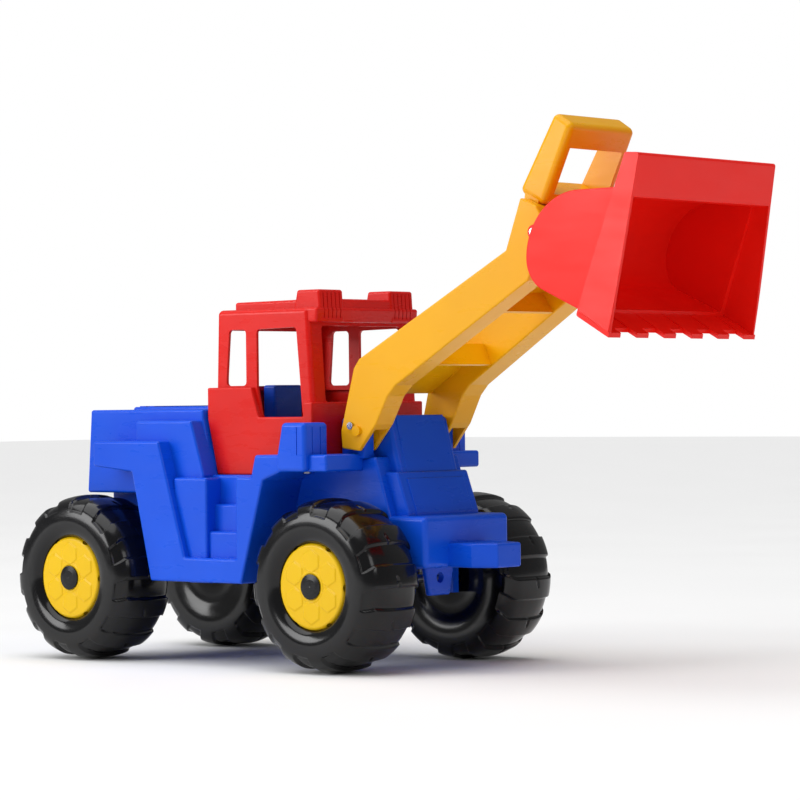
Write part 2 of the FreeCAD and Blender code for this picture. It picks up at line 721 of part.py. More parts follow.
def cab():
    """The red cab: side walls, window posts, roof, visor and two beacons in one moulding."""
    lower, lower_sketch = layer("cab_lower", [
        ("cab_foot_x", "floor_z"), ("cab_rear_x", "cab_slant_z"), ("cab_rear_x", "cab_side_z"),
        ("cab_sill_x - 9.5", "cab_side_z"), ("cab_sill_x", "cab_sill_z"), ("cab_front_x - 12", "cab_sill_z"),
        ("cab_front_x - 10", "screen_sill_z"), ("cab_front_x", "screen_sill_z"), ("cab_front_x", "step_z"),
        ("step_x", "step_z"), ("step_x", "floor_z")], "cab_half", "arm_round")
    upper, upper_sketch = layer("cab_upper", [
        ("cab_upper_rear_x", "cab_sill_z"), ("roof_rear_x", "roof_z"), ("roof_front_x", "roof_z"),
        ("cab_upper_front_x", "cab_sill_z")], "cab_upper_half", "broad_round")
    panel, panel_sketch = layer("roof_panel", [
        ("roof_panel_rear_x", "roof_z - 8"), ("roof_panel_rear_x", "roof_panel_z - 1"),
        ("roof_panel_front_x", "roof_panel_z"), ("roof_panel_front_x", "roof_z - 8")],
        "roof_panel_half", "edge_round")
    visor, _ = layer("visor", [
        ("roof_front_x - 6", "visor_z"), ("roof_front_x - 6", "roof_z"), ("visor_front_x", "roof_z"),
        ("visor_front_x - 1.5", "visor_z")], "visor_half", "edge_round")
    inside_lower = hollow("cab_inside_lower", lower_sketch, "cab_half")
    inside_base = block("cab_inside_base", ("cab_foot_x + wall", "step_x - wall"),
                        ("wall - cab_half", "cab_half - wall"), ("floor_z - 1", "floor_z + 2 * wall"))
    inside_step = block("cab_inside_step", ("step_x - 2 * wall", "cab_front_x - wall"),
                        ("wall - cab_half", "cab_half - wall"), ("step_z - 1", "step_z + 2 * wall"))
    inside_upper = hollow("cab_inside_upper", upper_sketch, "cab_upper_half")
    inside_foot = block("cab_inside_foot", ("cab_upper_rear_x + wall + 0.5", "cab_upper_front_x - wall - 2"),
                        ("wall - cab_upper_half", "cab_upper_half - wall"), ("cab_sill_z - 2 * wall", "cab_side_z + 4"))
    inside_panel = hollow("cab_inside_panel", panel_sketch, "roof_panel_half")
    outside = join("cab_outside", [lower, upper, panel, visor] + beacons())
    spaces = [inside_lower, inside_base, inside_step, inside_upper, inside_foot, inside_panel]
    shell = cut("cab_shell", outside, join("cab_inside", spaces))
    posts = [upright("cab_boss_" + name, "screw_post_radius", floor, floor + " + screw_length", x, y)
             for name, x, y, floor in screw_places()]
    holes = [upright("cab_hole_" + name, "screw_radius", floor + " - 1", floor + " + screw_length - 2", x, y)
             for name, x, y, floor in screw_places()]
    glazed = cut("cab_glazed", shell, join("cab_windows", windows() + flutes()))
    return keep(cut("cab", join("cab_with_posts", [glazed] + posts), join("cab_screw_holes", holes)), "cab")


def shifted(name, source, dx, dz):
    """A copy of a shape moved by rules along X and Z."""
    copy = doc.addObject("Part::Compound", name)
    copy.Links = [source]
    bind(copy, "Placement.Base.x", dx)
    bind(copy, "Placement.Base.z", dz)
    return copy


def beacons():
    """Two beacon housings that run down the front of the visor, with upright flutes."""
    body = doc.addObject("PartDesign::Body", "beacon_left")
    sketch = new_sketch(body, "beacon_profile", "XZ_Plane", "-beacon_outer_y")
    outline(sketch, [
        ("beacon_rear_x", "roof_z - 6"), ("beacon_rear_x + 5", "beacon_top_z"), ("beacon_front_x - 2", "beacon_top_z"),
        ("beacon_front_x", "visor_z"), ("roof_front_x", "visor_z"), ("roof_front_x", "roof_z - 6")])
    pad(body, sketch, "beacon_pad", "beacon_outer_y - beacon_inner_y", midplane=False)
    round_edges(body, "beacon_rounding", "edge_round")
    return [body, mirror("beacon_right", body)]


def flutes():
    """Upright flutes down the front of each beacon."""
    grooves = []
    for i in range(1, 6):
        middle = f"beacon_inner_y + {i} * (beacon_outer_y - beacon_inner_y) / 6"
        grooves.append(block(f"flute_{i}", ("beacon_front_x - 2.6", "beacon_front_x + 1"),
                             (f"{middle} - groove / 2", f"{middle} + groove / 2"),
                             ("visor_z + 4", "beacon_top_z - edge_round")))
    left = join("flutes_left", grooves)
    return [left, mirror("flutes_right", left)]


def windows():
    """Openings: two windows in each side, the windscreen and the rear window."""
    rear, _ = layer("side_window_rear", [
        ("window_rear_x", "cab_side_z + 1.5"), ("window_rear_top_x", "window_top_z"),
        ("door_post_rear_x", "window_top_z"), ("door_post_rear_x", "cab_side_z + 1.5")], "cab_half + 5",
        "window_round")
    front, _ = layer("side_window_front", [
        ("cab_sill_x - 6", "cab_side_z"), ("door_post_front_x", "window_top_z"),
        ("front_post_top_x", "window_top_z + 1"), ("front_post_x", "cab_sill_z"), ("cab_sill_x", "cab_sill_z")],
        "cab_half + 5", "window_round")
    screen, _ = layer("windscreen", [
        ("roof_front_x - 20", "screen_sill_z"), ("roof_front_x - 20", "screen_top_z - 3"),
        ("visor_front_x + 10", "screen_top_z - 3"), ("visor_front_x + 10", "screen_sill_z")],
        "screen_half", "window_round")
    back, _ = layer("rear_window", [
        ("cab_rear_x - 5", "cab_side_z + 1.5"), ("cab_rear_x - 5", "window_top_z"),
        ("roof_rear_x + 15", "window_top_z"), ("roof_rear_x + 15", "cab_side_z + 1.5")],
        "rear_window_half", "window_round")
    return [rear, front, screen, back]


def screws():
    """Four self-tapping screws, one group, from under the floor into the cab's posts."""
    parts = []
    for name, x, y, floor in screw_places():
        parts.append(upright("screw_shank_" + name, "screw_radius", floor + " - 6", floor + " + screw_length - 3", x, y))
        parts.append(upright("screw_head_" + name, "screw_head_radius", floor + " - 6 - screw_head_height",
                             floor + " - 6", x, y))
    return keep(join("cab_screws", parts), "cab_screws")


def ring_section(body, name, corners):
    """Turn a closed section in Y and Z about the body's own Y axis."""
    sketch = new_sketch(body, name + "_section", "YZ_Plane")
    outline(sketch, corners)
    ring = body.newObject("PartDesign::Revolution", name)
    ring.Profile = sketch
    axis = [f for f in body.Origin.OriginFeatures if f.Role == "Y_Axis"][0]
    ring.ReferenceAxis = (axis, [""])
    ring.Angle = 360.0
    return tip(body, ring)


def polar(body, feature, name, count):
    """Repeat a feature around the body's own Y axis."""
    pattern = body.newObject("PartDesign::PolarPattern", name)
    pattern.Originals = [feature]
    axis = [f for f in body.Origin.OriginFeatures if f.Role == "Y_Axis"][0]
    pattern.Axis = (axis, [""])
    pattern.Angle = 360.0
    bind(pattern, "Occurrences", count)
    return tip(body, pattern)


def place_wheel_piece(body, end, side, label):
    """Put a piece drawn on the left front axle at its own wheel."""
    sign = SIDES[side]
    if sign < 0:
        body.Placement.Rotation = FreeCAD.Rotation(FreeCAD.Vector(0, 0, 1), 180)
    bind(body, "Placement.Base.x", "front_axle_x" + (" - wheelbase" if end == "rear" else ""))
    bind(body, "Placement.Base.z", "axle_height")
    body.Label = label
    kept.append(body)


def tyre(end, side):
    """A hollow tyre, open towards the hub's face, closed inside, with two rows of tread gaps."""
    label = f"tyre_{end}_{side}"
    body = doc.addObject("PartDesign::Body", label)
    outer = "tyre_radius"
    ring_section(body, label + "_ring", [
        ("tyre_inner_y", "tyre_inner_radius"), ("tyre_inner_y", f"{outer} - tyre_shoulder - 6"),
        ("tyre_inner_y + 5", f"{outer} - tyre_shoulder + 3"), ("tyre_inner_y + 12", f"{outer} - 2"),
        ("tyre_inner_y + 24", outer), ("tyre_outer_y - 24", outer), ("tyre_outer_y - 12", f"{outer} - 2"),
        ("tyre_outer_y - 5", f"{outer} - tyre_shoulder + 3"), ("tyre_outer_y", f"{outer} - tyre_shoulder - 6"),
        ("tyre_outer_y", "tyre_bore_radius + 8"), ("tyre_outer_y - 6", "tyre_bore_radius"),
        ("tyre_outer_y - 14", "tyre_bore_radius"), ("tyre_outer_y - 8 - tyre_wall", "tyre_bore_radius + 12"),
        ("tyre_outer_y - 4 - tyre_wall", f"{outer} - tyre_shoulder - 6"),
        ("tyre_outer_y - 16", f"{outer} - 2 - tyre_wall - tread_depth"),
        ("tyre_inner_y + 16", f"{outer} - 2 - tyre_wall - tread_depth"),
        ("tyre_inner_y + 4 + tyre_wall", f"{outer} - tyre_shoulder - 6"),
        ("tyre_inner_y + tyre_wall", "tyre_bore_radius + 8"), ("tyre_inner_y + tyre_wall", "tyre_inner_radius")])
    for row, low, high, start in (("outer", "tyre_outer_y - 28", "tyre_outer_y + 1", "0"),
                                  ("inner", "tyre_inner_y - 1", "tyre_inner_y + 28", "180 / tread_count")):
        tread_row(body, f"{label}_{row}", low, high, start)
    place_wheel_piece(body, end, side, label)


def tread_row(body, name, low, high, start):
    """One row of gaps across half of the tread, cut from the outside in."""
    sketch = new_sketch(body, name + "_gap", "XY_Plane")
    sketch.AttachmentOffset = FreeCAD.Placement(FreeCAD.Vector(), FreeCAD.Rotation(FreeCAD.Vector(0, 1, 0), 0))
    bind(sketch, "AttachmentOffset.Base.x", f"(tyre_radius - tread_depth) * sin({start})")
    bind(sketch, "AttachmentOffset.Base.z", f"(tyre_radius - tread_depth) * cos({start})")
    bind(sketch, "AttachmentOffset.Rotation.Angle", start)
    outline(sketch, [("-tread_gap / 2", low), ("tread_gap / 2", low), ("tread_gap / 2", high),
                     ("-tread_gap / 2", high)])
    pocket = body.newObject("PartDesign::Pocket", name + "_pocket")
    pocket.Profile = sketch
    pocket.Reversed = True
    bind(pocket, "Length", "2 * tread_depth")
    tip(body, pocket)
    polar(body, pocket, name + "_pattern", "tread_count")


def hub(end, side):
    """A deep hub cup with a raised hexagon pattern, and a sleeve for the axle."""
    label = f"hub_{end}_{side}"
    body = doc.addObject("PartDesign::Body", label)
    ring_section(body, label + "_cup", [
        ("hub_face_y", "axle_radius + axle_fit"), ("hub_face_y", "hub_radius - hub_shoulder"),
        ("hub_face_y - hub_shoulder / 2", "hub_radius - hub_shoulder / 4"),
        ("hub_face_y - 1.5 * hub_shoulder", "hub_radius"), ("hub_inner_y", "hub_radius"),
        ("hub_inner_y", "hub_radius - hub_wall"),
        ("hub_face_y - 1.5 * hub_shoulder - hub_wall", "hub_radius - hub_wall"),
        ("hub_face_y - hub_wall", "hub_radius - hub_shoulder - hub_wall / 2"),
        ("hub_face_y - hub_wall", "sleeve_radius"),
        ("tyre_inner_y", "sleeve_radius"), ("tyre_inner_y", "axle_radius + axle_fit")])
    sketch = new_sketch(body, label + "_pad_outline", "XZ_Plane", "-hub_face_y")
    corners = [(f"pad_radius * cos({60 * i})", f"pad_distance + pad_radius * sin({60 * i})") for i in range(6)]
    outline(sketch, corners)
    raised = pad(body, sketch, label + "_raised", "pad_height", midplane=False, reverse=True)
    polar(body, raised, label + "_pads", "6")
    place_wheel_piece(body, end, side, label)


def axle_cap(end, side):
    """A domed push-on cap over the end of the axle."""
    label = f"axle_cap_{end}_{side}"
    body = doc.addObject("PartDesign::Body", label)
    ring_section(body, label + "_dome", [
        ("cap_outer_y", "0"), ("cap_outer_y - 0.3", "cap_radius * 0.6"), ("cap_outer_y - 1.1", "cap_radius"),
        ("cap_inner_y", "cap_radius"), ("cap_inner_y", "cap_radius - cap_wall"),
        ("cap_outer_y - 0.9 - cap_wall", "cap_radius - cap_wall"),
        ("cap_outer_y - cap_wall", "axle_radius + 2 * cap_wall"),
        ("nut_inner_y + nut_thickness + 0.1", "axle_radius + 2 * cap_wall"),
        ("nut_inner_y + nut_thickness + 0.1", "axle_radius"), ("cap_outer_y - cap_wall", "axle_radius"),
        ("cap_outer_y - cap_wall", "0")])
    place_wheel_piece(body, end, side, label)


def push_nut(end, side):
    """A toothed steel washer pushed onto the axle outside the hub."""
    label = f"push_nut_{end}_{side}"
    body = doc.addObject("PartDesign::Body", label)
    ring_section(body, label + "_disc", [
        ("nut_inner_y", "axle_radius"), ("nut_inner_y", "nut_radius"),
        ("nut_inner_y + nut_thickness", "nut_radius"), ("nut_inner_y + nut_thickness", "axle_radius")])
    place_wheel_piece(body, end, side, label)


def axle(end):
    """A straight steel rod from wheel to wheel."""
    label = end + "_axle"
    item = rod(label, "axle_radius", "2 * axle_half_length", "0", "-axle_half_length", "axle_height")
    item.Label = label
    bind(item, "Placement.Base.x", "front_axle_x" + (" - wheelbase" if end == "rear" else ""))
    kept.append(item)


def arm_outline():
    """Corners of one arm seen from the side: foot, shin, elbow, long arm, eye and neck."""
    return [("foot_rear_x", "foot_rear_z"), ("foot_heel_x", "foot_heel_z"), ("foot_toe_x", "foot_toe_z"),
            ("foot_front_x", "foot_front_z"), ("shin_top_x", "shin_top_z"), ("elbow_x", "elbow_z"),
            ("chin_x", "chin_z"), ("eye_x", "eye_low_z"), ("eye_x", "eye_high_z"), ("neck_front_x", "neck_front_z"),
            ("neck_rear_x", "neck_rear_z"), ("knee_x", "knee_z"), ("elbow_back_x", "elbow_back_z"),
            ("shin_back_x", "shin_back_z")]


def arm():
    """The left arm: a channel, open along its back, toed in towards the head."""
    body = doc.addObject("PartDesign::Body", "arm_left")
    sketch = new_sketch(body, "arm_profile", "XZ_Plane", "-arm_outer_y")
    outline(sketch, arm_outline())
    pad(body, sketch, "arm_pad", "arm_width", midplane=False)
    round_edges(body, "arm_rounding", "arm_round")
    inset = doc.addObject("Part::Offset2D", "arm_inset")
    inset.Source = sketch
    inset.Join = "Intersection"
    bind(inset, "Value", "-wall")
    channel = doc.addObject("Part::Extrusion", "arm_channel")
    channel.Base = inset
    channel.DirMode = "Custom"
    channel.Dir = FreeCAD.Vector(0, -1, 0)
    channel.Solid = True
    bind(channel, "LengthFwd", "arm_width - 2 * wall")
    bind(channel, "Placement.Base.y", "-wall")
    opening = shifted("arm_opening", channel, "-open_shift", "open_shift")
    ear_room = block("ear_room", ("foot_rear_x - 5", "foot_front_x - 4"),
                     ("ear_inner_y - 2", "ear_outer_y + 2"), ("foot_toe_z - 5", "pivot_z + ear_half + 3"))
    shaped = cut("arm_shaped", body, join("arm_spaces", [channel, opening, ear_room]))
    turned = doc.addObject("Part::Compound", "arm_turned")
    turned.Links = [shaped]
    turned.Placement.Rotation = FreeCAD.Rotation(FreeCAD.Vector(0, 0, 1), 0)
    bind(turned, "Placement.Rotation.Angle", "-arm_toe_in")
    bind(turned, "Placement.Base.x", "pivot_x - pivot_x * cos(arm_toe_in) - arm_outer_y * sin(arm_toe_in)")
    bind(turned, "Placement.Base.y", "arm_outer_y + pivot_x * sin(arm_toe_in) - arm_outer_y * cos(arm_toe_in)")
    return turned


def boom():
    """Both arms, the two cross plates between them and the bosses beside the pins."""
    left = arm()
    inner = "arm_outer_y - arm_width + 1.5"
    elbow_plate, _ = layer("elbow_plate", [
        ("plate_rear_x", "plate_rear_z"), ("plate_front_x", "plate_front_z"), ("plate_end_x", "plate_end_z"),
        ("plate_end_x - 3.4", "plate_end_z - 1.4"), ("plate_front_x - 1.4", "plate_front_z - 4.4"),
        ("plate_rear_x + 1.8", "plate_rear_z - 2.8")], inner + " - 3")
    head_plate, _ = layer("head_plate", [
        ("head_plate_low_x", "head_plate_low_z"), ("head_plate_x", "head_plate_z"),
        ("head_plate_top_x", "head_plate_top_z"), ("head_plate_top_x + 1.6", "head_plate_top_z - 2.8"),
        ("head_plate_x + 4", "head_plate_z - 1"), ("head_plate_low_x + 3", "head_plate_low_z + 1.6")],
        "arm_outer_y - arm_width - 6")
    boss = rod("foot_boss_left", "4.8", "3.5", "pivot_x + 6.9", "arm_outer_y - 1.5", "pivot_z - 4.8")
    solid = join("boom_solid", [left, mirror("arm_right", left), elbow_plate, head_plate,
                                boss, mirror("foot_boss_right", boss)])
    holes = join("boom_holes", [
        rod("boom_pin_hole", "pin_radius", "2 * skirt_half", "pivot_x", "-skirt_half", "pivot_z"),
        rod("bucket_pin_hole", "pin_radius", "2 * skirt_half", "bucket_pin_x", "-skirt_half", "bucket_pin_z"),
        tongues("tongue_slots", "tongue_gap")])
    return keep(cut("boom", solid, holes), "boom")


def pins(label, x, z, head_y, inner_y):
    """A headed steel pin and its clip on the left, and the same on the right."""
    for side in SIDES:
        shank = rod(f"{label}_shank_{side}", "pin_radius", f"{head_y} - ({inner_y})", x, inner_y, z)
        head = rod(f"{label}_head_{side}", "pin_head_radius", "pin_head_height", x, head_y, z)
        pin = join(f"{label}_solid_{side}", [shank, head])
        clip_place = f"{inner_y} + 0.4"
        disc = rod(f"{label}_disc_{side}", "clip_radius", "clip_thickness", x, clip_place, z)
        hole = rod(f"{label}_disc_hole_{side}", "pin_radius", "3 * clip_thickness", x, f"{clip_place} - clip_thickness", z)
        clip = cut(f"{label}_washer_{side}", disc, hole)
        if side == "right":
            pin = mirror(f"{label}_mirrored", pin)
            clip = mirror(f"{label}_clip_mirrored", clip)
        keep(pin, f"{label}_{side}")
        keep(clip, f"{label}_clip_{side}")


def handle():
    """The carrying handle: a broad rounded loop on two tongues inside the arms' heads."""
    rise_x = "(handle_top_x - handle_rear_x)"
    rise_z = "(handle_top_z - handle_rear_z)"
    loop, _ = layer("handle_loop", [
        ("handle_rear_x", "handle_rear_z"), ("handle_top_x", "handle_top_z"),
        ("handle_top_x + handle_depth_x * 0.7", "handle_top_z + handle_depth_z * 0.9"),
        ("handle_rear_x + handle_depth_x", "handle_rear_z + handle_depth_z")], "handle_half", "handle_round")
    length = f"sqrt({rise_x}^2 + {rise_z}^2)"
    corners = []
    for along, across in (("slot_low", -1), ("slot_high", -1), ("slot_high", 2), ("slot_low", 2)):
        corners.append((f"handle_rear_x + {rise_x} * {along} * 1mm / {length} / 1mm + {across} * handle_depth_x",
                        f"handle_rear_z + {rise_z} * {along} * 1mm / {length} / 1mm + {across} * handle_depth_z"))
    slot, _ = layer("handle_slot", corners, "slot_half")
    legs = tongues("tongues", "0")
    return keep(join("handle", [cut("handle_grip", loop, slot), legs]), "handle")


def tongues(name, gap):
    """The two flat tongues below the handle, or with a gap the slots they sit in."""
    outer, _ = layer(name + "_outer", [
        (f"handle_rear_x + 8 - {gap}", "handle_rear_z + 2"), (f"handle_rear_x + 24 + {gap}", "handle_rear_z - 4"),
        (f"handle_rear_x + 18 + {gap}", f"handle_rear_z - tongue_length - {gap}"),
        (f"handle_rear_x + 4 - {gap}", f"handle_rear_z - tongue_length - {gap}")], f"tongue_outer_y + {gap}")
    between, _ = layer(name + "_between", [
        ("handle_rear_x - 10", "handle_rear_z + 12"), ("handle_rear_x + 40", "handle_rear_z + 12"),
        ("handle_rear_x + 40", "handle_rear_z - 2 * tongue_length"),
        ("handle_rear_x - 10", "handle_rear_z - 2 * tongue_length")], f"tongue_inner_y - {gap}")
    return cut(name, outer, between)


def bowl_profile(sketch):
    """The bucket's round back, a tighter round at its heel, and the flat floor below."""
    rear = "bowl_x - bowl_radius"
    start = {"top": (288, 428), "rear": (230.5, 370.5), "heel": (248, 343), "foot": (324, 308), "front": (335, 428)}
    place = {name: FreeCAD.Vector(x, z, 0) for name, (x, z) in start.items()}
    back = sketch.addGeometry(Part.Arc(place["top"], FreeCAD.Vector(247, 411, 0), place["rear"]), False)
    heel = sketch.addGeometry(Part.Arc(place["rear"], FreeCAD.Vector(235, 354, 0), place["heel"]), False)
    floor = sketch.addGeometry(Part.LineSegment(place["heel"], place["foot"]), False)
    front = sketch.addGeometry(Part.LineSegment(place["foot"], place["front"]), False)
    roof = sketch.addGeometry(Part.LineSegment(place["front"], place["top"]), False)
    heel_x = f"{rear} + bowl_heel_radius * (1 - sin(floor_slope))"
    heel_z = "bowl_z - bowl_heel_radius * cos(floor_slope)"
    rules = [
        (("Coincident", back, 2, heel, 1), None),
        (("Coincident", heel, 2, floor, 1), None),
        (("Coincident", floor, 2, front, 1), None),
        (("Coincident", front, 2, roof, 1), None),
        (("Coincident", roof, 2, back, 1), None),
        (("Radius", back, 57.5), "bowl_radius"),
        (("Radius", heel, 30.4), "bowl_heel_radius"),
        (("DistanceX", -1, 1, back, 3, 288.0), "bowl_x"),
        (("DistanceY", -1, 1, back, 3, 370.5), "bowl_z"),
        (("DistanceY", -1, 1, heel, 3, 370.5), "bowl_z"),
        (("DistanceX", -1, 1, back, 1, 288.0), "bowl_x"),
        (("DistanceY", -1, 1, back, 2, 370.5), "bowl_z"),
        (("DistanceX", -1, 1, heel, 2, 248.2), heel_x),
        (("DistanceX", -1, 1, floor, 2, 324.0), "lip_tip_x"),
        (("DistanceY", -1, 1, floor, 2, 308.0), f"{heel_z} - (lip_tip_x - ({heel_x})) * tan(floor_slope)"),
        (("DistanceX", -1, 1, front, 2, 335.0), "bowl_front_x"),
        (("DistanceY", -1, 1, front, 2, 428.0), "bowl_z + bowl_radius"),
    ]
    for arguments, rule in rules:
        index = sketch.addConstraint(Sketcher.Constraint(*arguments))
        if rule:
            bind(sketch, f"Constraints[{index}]", rule)


def drafted(name, source, half):
    """A shape whose sides lean inwards with height, from a half width at the tooth tips."""
    box = doc.addObject("Part::Box", name + "_side_left")
    bind(box, "Length", "4 * bowl_radius")
    bind(box, "Width", "bowl_radius")
    bind(box, "Height", "4 * bowl_radius")
    box.Placement.Rotation = FreeCAD.Rotation(FreeCAD.Vector(1, 0, 0), 1)
    bind(box, "Placement.Rotation.Angle", "lip_draft")
    bind(box, "Placement.Base.x", "bowl_x - bowl_radius")
    bind(box, "Placement.Base.y", f"{half} + bowl_radius * sin(lip_draft)")
    bind(box, "Placement.Base.z", "lip_tip_z - bowl_radius * cos(lip_draft)")
    return cut(name, source, join(name + "_sides", [box, mirror(name + "_side_right", box)]))


def lip_corners():
    """The bucket's wide front frame from the side."""
    return [("lip_tip_x", "lip_tip_z"), ("lip_top_x", "lip_top_z"), ("lip_rear_top_x", "lip_top_z + 1"),
            ("lip_rear_bottom_x", "lip_rear_bottom_z")]


def teeth():
    """Gaps between the six teeth, and the ribs that carry each tooth up the floor."""
    slope_x = "(lip_tip_x - lip_rear_bottom_x)"
    slope_z = "(lip_tip_z - lip_rear_bottom_z)"
    gaps = []
    ribs = []
    pitch = "(tooth_width + teeth_gap)"
    for i in range(6):
        low = f"-lip_half + {i} * {pitch}"
        if i < 5:
            gaps.append(block(f"tooth_gap_{i}", ("lip_tip_x - tooth_depth", "lip_tip_x + 20"),
                              (f"{low} + tooth_width", f"{low} + {pitch}"), ("lip_tip_z - 20", "lip_tip_z + 12")))
        rib = doc.addObject("PartDesign::Body", f"tooth_rib_{i}")
        sketch = new_sketch(rib, f"tooth_rib_{i}_profile", "XZ_Plane", f"-({low} + tooth_width)")
        outline(sketch, [
            ("lip_tip_x", "lip_tip_z"), ("lip_tip_x + 0.8", "lip_tip_z + 4"),
            ("lip_rear_bottom_x + 4", "lip_rear_bottom_z + 3.2"), ("lip_rear_bottom_x + 4", "lip_rear_bottom_z - 1.5")])
        pad(rib, sketch, f"tooth_rib_{i}_pad", "tooth_width", midplane=False)
        ribs.append(rib)
    return gaps, ribs


def bucket():
    """The red bucket: a round-backed bowl with a wide toothed lip and two pivot lugs."""
    outer_bowl = doc.addObject("PartDesign::Body", "bowl")
    bowl_sketch = new_sketch(outer_bowl, "bowl_section", "XZ_Plane")
    bowl_profile(bowl_sketch)
    pad(outer_bowl, bowl_sketch, "bowl_pad", "2 * bowl_half")
    round_edges(outer_bowl, "bowl_rounding", "bowl_round")
    inner_bowl = hollow("bowl_space", bowl_sketch, "bowl_half")
    lip, _ = layer("lip_outer", lip_corners(), "lip_half", "edge_round")
    lip = drafted("lip_drafted", lip, "lip_half")
    mouth, _ = layer("lip_mouth", [
        ("lip_tip_x + 6", "lip_tip_z - 1"), ("band_x + 8", "band_z"), ("lip_rear_top_x - 9.5", "band_z"),
        ("lip_rear_bottom_x + wall + 1", "lip_rear_bottom_z + wall")], "lip_half - wall")
    mouth = drafted("mouth_drafted", mouth, "lip_half - wall")
    band, _ = layer("band_pocket", [
        ("band_x - 15 - wall", "band_z + wall"), ("band_x - wall", "band_z + wall"),
        ("lip_top_x - wall - 0.6", "lip_top_z - wall"), ("lip_rear_top_x - 8", "lip_top_z - wall")],
        "bowl_half - wall")
    gaps, ribs = teeth()
    lug = lugs()
    shell = cut("bucket_shell", join("bucket_outside", [outer_bowl, lip] + lug),
                join("bucket_inside", [inner_bowl, mouth, band]))
    toothed = cut("bucket_toothed", join("bucket_ribbed", [shell] + ribs), join("bucket_gaps", gaps))
    hole = rod("lug_hole", "pin_radius + pin_fit", "2 * skirt_half", "bucket_pin_x", "-skirt_half", "bucket_pin_z")
    return keep(cut("bucket", toothed, hole), "bucket")


def lugs():
    """Two eyes behind the bucket, just outside the arms' heads."""
    width = "lug_outer_y - lug_inner_y"
    eye = rod("lug_eye_left", "lug_radius", width, "bucket_pin_x", "lug_inner_y", "bucket_pin_z")
    web = block("lug_web_left", ("bucket_pin_x", "bucket_pin_x + 32"), ("lug_inner_y", "lug_outer_y"),
                ("bucket_pin_z - lug_radius", "bucket_pin_z + lug_radius"))
    left = join("lug_left", [eye, web])
    return [left, mirror("lug_right", left)]


def build():
    """Build every sub-part."""
    body_shell()
    cab()
    screws()
    tow_hitch()
    hitch_screws()
    for end in ("front", "rear"):
        axle(end)
        for side in SIDES:
            tyre(end, side)
            hub(end, side)
            push_nut(end, side)
            axle_cap(end, side)
    boom()
    pins("boom_pin", "pivot_x", "pivot_z", "arm_outer_y + 0.6", "arm_outer_y - arm_width - 2.2")
    handle()
    bucket()
    pins("bucket_pin", "bucket_pin_x", "bucket_pin_z", "lug_outer_y + 0.1", "lug_inner_y - 11")
    doc.recompute()


def check():
    """Stop if any object failed or any kept sub-part isn't a valid solid."""
    for item in doc.Objects:
        if "Invalid" in item.State or "Error" in item.State:
            raise RuntimeError(f"{item.Name} failed: {item.State}")
    for item in kept:
        if item.Shape.isNull() or not item.Shape.isValid() or not item.Shape.Solids:
            raise RuntimeError(f"{item.Label} has no valid solid")


def write():
    """Write one STEP file for each sub-part."""
    os.makedirs("parts", exist_ok=True)
    for item in kept:
        item.Shape.exportStep(f"parts/{item.Label}.step")
        box = item.Shape.BoundBox
        print(f"{item.Label}: {len(item.Shape.Solids)} solids, {item.Shape.Volume / 1000:.1f} cm3, "
              f"x {box.XMin:.1f} {box.XMax:.1f}, y {box.YMin:.1f} {box.YMax:.1f}, z {box.ZMin:.1f} {box.ZMax:.1f}")


build()
check()
write()
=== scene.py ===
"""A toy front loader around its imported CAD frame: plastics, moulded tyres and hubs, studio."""

import json
import math

import bpy
from mathutils import Matrix, Vector


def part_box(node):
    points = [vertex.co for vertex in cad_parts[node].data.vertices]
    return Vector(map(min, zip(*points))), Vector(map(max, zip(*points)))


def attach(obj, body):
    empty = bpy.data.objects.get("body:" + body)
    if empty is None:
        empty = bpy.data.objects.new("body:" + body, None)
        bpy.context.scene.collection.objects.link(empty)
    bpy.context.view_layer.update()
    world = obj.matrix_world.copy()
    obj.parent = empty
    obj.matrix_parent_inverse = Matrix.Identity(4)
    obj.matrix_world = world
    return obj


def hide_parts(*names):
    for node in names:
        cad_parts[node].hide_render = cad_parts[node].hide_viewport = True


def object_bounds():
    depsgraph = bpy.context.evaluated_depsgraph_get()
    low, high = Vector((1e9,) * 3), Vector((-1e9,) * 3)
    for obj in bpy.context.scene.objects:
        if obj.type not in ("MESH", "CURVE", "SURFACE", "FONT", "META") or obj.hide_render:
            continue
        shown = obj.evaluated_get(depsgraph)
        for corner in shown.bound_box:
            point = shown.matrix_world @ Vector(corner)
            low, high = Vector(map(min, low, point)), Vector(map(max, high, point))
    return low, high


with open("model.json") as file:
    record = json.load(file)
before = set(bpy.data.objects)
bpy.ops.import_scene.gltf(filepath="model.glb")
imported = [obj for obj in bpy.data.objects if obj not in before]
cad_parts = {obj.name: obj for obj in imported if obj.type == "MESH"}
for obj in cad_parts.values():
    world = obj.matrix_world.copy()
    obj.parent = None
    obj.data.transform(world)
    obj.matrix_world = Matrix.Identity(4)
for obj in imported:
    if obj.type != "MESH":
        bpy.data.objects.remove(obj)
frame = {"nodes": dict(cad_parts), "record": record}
CAD_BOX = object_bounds()

MM = 0.001
ENDS = ("front", "rear")
SIDES = ("left", "right")

# Camera: where it stands relative to the front axle, its heading, and its lens.
CAMERA_FROM_AXLE = Vector((1.97793, -2.31189, 0.24718))
CAMERA_AZIMUTH = math.radians(40.596)
CAMERA_ELEVATION = math.radians(-0.037)
CAMERA_ROLL = math.radians(-0.644)
CAMERA_LENS = 145.68
CAMERA_SENSOR = 36.0

AMBIENT = 0.25           # light from all round, as a share of the white behind the object


# ---------------------------------------------------------------- materials

MIX_FIRST = 6            # a colour mix's sockets, by number because their names repeat
MIX_SECOND = 7
MIX_RESULT = 2


def new_material(name):
    """A node material with its nodes, links and Principled shader."""
    material = bpy.data.materials.new(name)
    material.use_nodes = True
    nodes = material.node_tree.nodes
    shader = nodes["Principled BSDF"]
    return material, nodes, material.node_tree.links, shader


